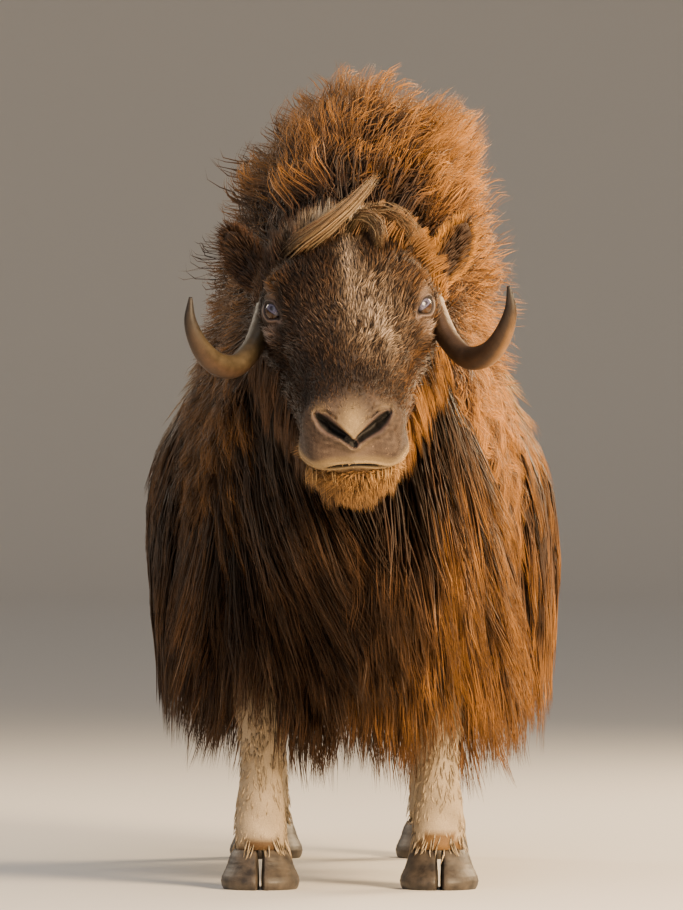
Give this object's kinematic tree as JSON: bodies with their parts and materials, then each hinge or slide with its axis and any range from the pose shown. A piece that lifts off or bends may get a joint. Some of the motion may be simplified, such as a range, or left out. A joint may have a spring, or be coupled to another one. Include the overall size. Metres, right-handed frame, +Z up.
{
  "type": "muskox",
  "caption": "Standing long-haired horned ox with its head lowered to face forward, a still life-size animal model.",
  "frame": {"origin": "on the floor under the middle of the model's box", "axes": "+Z up, the animal faces -Y and +X is its left side"},
  "size_m": [0.7322, 1.965, 1.3114],
  "materials": {
    "coat": "long coarse guard hair, dark brown with golden tips",
    "face_fur": "short dense dark brown fur, cream on the brow and lips",
    "leg_fur": "short pale buff fur",
    "horn": "ridged olive-brown horn, darker and smoother towards the tip",
    "hoof": "worn dark hoof horn",
    "eye": "wet dark brown eye"
  },
  "bodies": {
    "root": {"head": "face_fur", "neck": "coat", "torso_shoulders": "coat", "torso_barrel": "coat", "torso_rump": "coat", "tail": "coat", "ear_left": "face_fur", "ear_right": "face_fur", "eye_left": "eye", "eye_right": "eye", "horn_left": "horn", "horn_right": "horn", "leg_front_left": "leg_fur", "leg_front_right": "leg_fur", "leg_hind_left": "leg_fur", "leg_hind_right": "leg_fur", "hoof_front_left_outer": "hoof", "hoof_front_left_inner": "hoof", "hoof_front_right_outer": "hoof", "hoof_front_right_inner": "hoof", "hoof_hind_left_outer": "hoof", "hoof_hind_left_inner": "hoof", "hoof_hind_right_outer": "hoof", "hoof_hind_right_inner": "hoof"}
  },
  "joints": []
}
